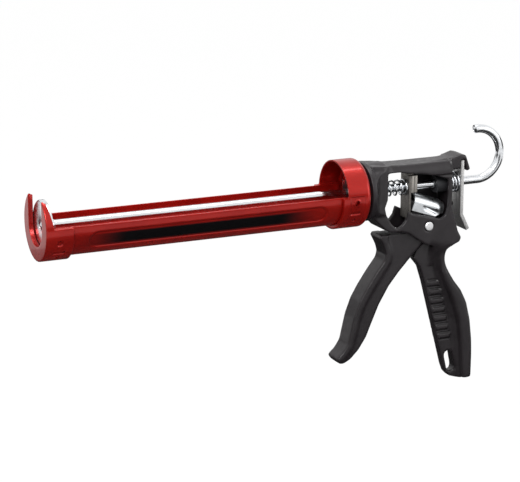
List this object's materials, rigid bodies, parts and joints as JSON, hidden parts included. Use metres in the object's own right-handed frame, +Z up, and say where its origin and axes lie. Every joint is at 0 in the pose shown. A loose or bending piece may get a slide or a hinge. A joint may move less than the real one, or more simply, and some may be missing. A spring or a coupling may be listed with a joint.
{
  "type": "caulking gun",
  "caption": "Hand-operated caulking gun with a swivelling half-cradle cartridge holder, hooked push rod, thrust trigger and release lever.",
  "frame": {"origin": "middle of the bounding box", "axes": "X along the push rod, from the nozzle end to the hook; Y across the gun; Z up, against the handle's direction"},
  "size_m": [0.443, 0.0604, 0.2356],
  "materials": {
    "red_paint": "gloss candy red paint over pressed sheet steel",
    "black_coat": "black satin coating on a metal casting",
    "zinc_plate": "bright zinc plate",
    "bright_plate": "bright plated pressing",
    "rod_steel": "polished drawn rod",
    "block_steel": "ground steel block, light grey",
    "raw_steel": "speckled tumbled steel",
    "black_nylon": "matt black plastic"
  },
  "bodies": {
    "frame": {"body_casting": "black_coat", "bulkhead_plate": "zinc_plate", "retaining_ring": "raw_steel", "swivel_washer": "black_nylon", "rod_guide_bush": "black_nylon", "spring_seat_washer": "zinc_plate", "main_spring": "zinc_plate", "trigger_pivot_pin": "zinc_plate", "brake_spring": "zinc_plate"},
    "holder": {"cradle": "red_paint", "front_cap": "red_paint", "rear_collar": "red_paint"},
    "plunger": {"plunger_disc": "zinc_plate", "plunger_nut": "zinc_plate"},
    "rod": {"push_rod": "rod_steel"},
    "trigger": {"trigger": "black_coat", "pusher": "bright_plate", "pusher_pin": "raw_steel"},
    "grip_plates": {"grip_plate_front": "raw_steel", "grip_plate_middle": "block_steel", "grip_plate_rear": "block_steel"},
    "release_lever": {"release_lever": "raw_steel"}
  },
  "joints": [
    {"name": "holder_spin", "type": "hinge", "parent": "frame", "child": "holder", "pos_m": [0.07353, 0, 0.0676], "axis": [1, 0, 0], "continuous": true},
    {"name": "plunger_slide", "type": "slide", "parent": "frame", "child": "plunger", "axis": [1, 0, 0], "range_m": [0, 0.25]},
    {"name": "rod_spin", "type": "hinge", "parent": "plunger", "child": "rod", "pos_m": [0.07353, 0, 0.0676], "axis": [1, 0, 0], "continuous": true},
    {"name": "trigger_squeeze", "type": "hinge", "parent": "frame", "child": "trigger", "pos_m": [0.13903, 0, 0.0326], "axis": [0, -1, 0], "range_deg": [0, 22], "stiffness_Nm_per_rad": 1.2, "springref_deg": -9.74},
    {"name": "plates_slide", "type": "slide", "parent": "frame", "child": "grip_plates", "axis": [-1, 0, 0], "range_m": [0, 0.0085], "deforming": ["main_spring"]},
    {"name": "lever_release", "type": "hinge", "parent": "frame", "child": "release_lever", "pos_m": [0.17483, 0, 0.0876], "axis": [0, 1, 0], "range_deg": [0, 4], "stiffness_Nm_per_rad": 1.5, "deforming": ["brake_spring"]}
  ],
  "couplings": [
    {"joint": "plates_slide", "follows": "trigger_squeeze", "m_per_rad": 0.0185}
  ]
}
